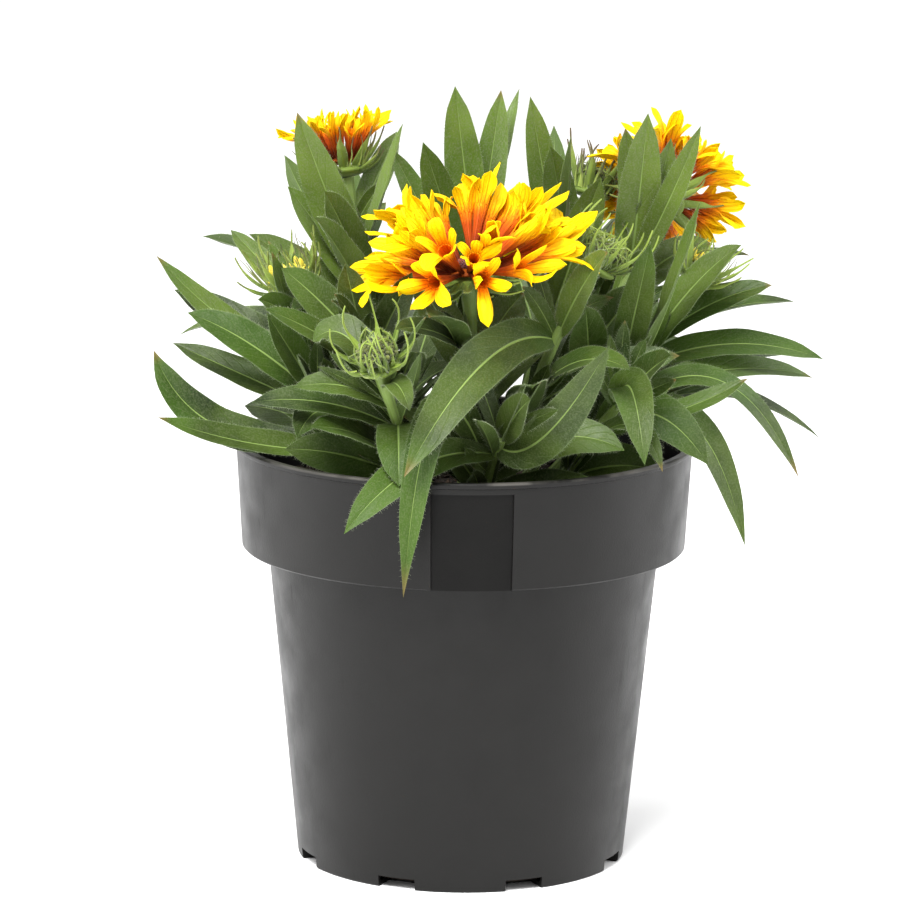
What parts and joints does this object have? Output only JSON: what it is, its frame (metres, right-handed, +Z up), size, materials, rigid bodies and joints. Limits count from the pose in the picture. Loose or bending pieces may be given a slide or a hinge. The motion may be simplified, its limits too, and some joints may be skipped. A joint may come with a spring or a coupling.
{
  "type": "blanket flower plant",
  "caption": "Bushy blanket flower plant with lance-shaped leaves, trumpet-floret blooms, half-open heads and curly buds in a round nursery pot.",
  "frame": {"origin": "middle of the pot's foot, on the surface it stands on", "axes": "+Z up; -Y is the plant's front, where the largest bloom faces; +X to the right seen from the front"},
  "size_m": [0.257, 0.244, 0.297],
  "materials": {
    "pot": "moulded charcoal polypropylene, satin, lightly scuffed",
    "soil": "damp peat compost, rough and crumbly",
    "leaf": "grey-green leaf, satin, finely hairy, pale midrib",
    "calyx": "pale green hairy bracts, matt, purplish at the tips",
    "rays": "bright yellow lobes, orange-red throat and streaked tube, matt with soft sheen",
    "disc": "dark red-brown velvety florets",
    "florets": "young greenish-yellow florets, matt"
  },
  "bodies": {
    "root": {"pot": "pot", "soil": "soil", "stem_front": "leaf", "stem_front_low": "leaf", "stem_front_right": "leaf", "stem_front_bud": "leaf", "stem_left_head": "leaf", "stem_left_low": "leaf", "stem_left_middle": "leaf", "stem_upper_left": "leaf", "stem_top": "leaf", "stem_upper_right": "leaf", "stem_right_bloom": "leaf", "stem_right_head": "leaf", "stem_right_low": "leaf", "stem_back": "leaf", "stem_back_left": "leaf", "stem_back_right": "leaf", "bloom_front_calyx": "calyx", "bloom_front_disc": "disc", "bloom_front_rays": "rays", "bloom_left_calyx": "calyx", "bloom_left_disc": "disc", "bloom_left_rays": "rays", "bloom_right_calyx": "calyx", "bloom_right_disc": "disc", "bloom_right_rays": "rays", "head_left_calyx": "calyx", "head_left_florets": "florets", "head_right_calyx": "calyx", "head_right_florets": "florets", "bud_front_calyx": "calyx", "bud_right_calyx": "calyx", "bud_upper_calyx": "calyx"}
  },
  "joints": []
}
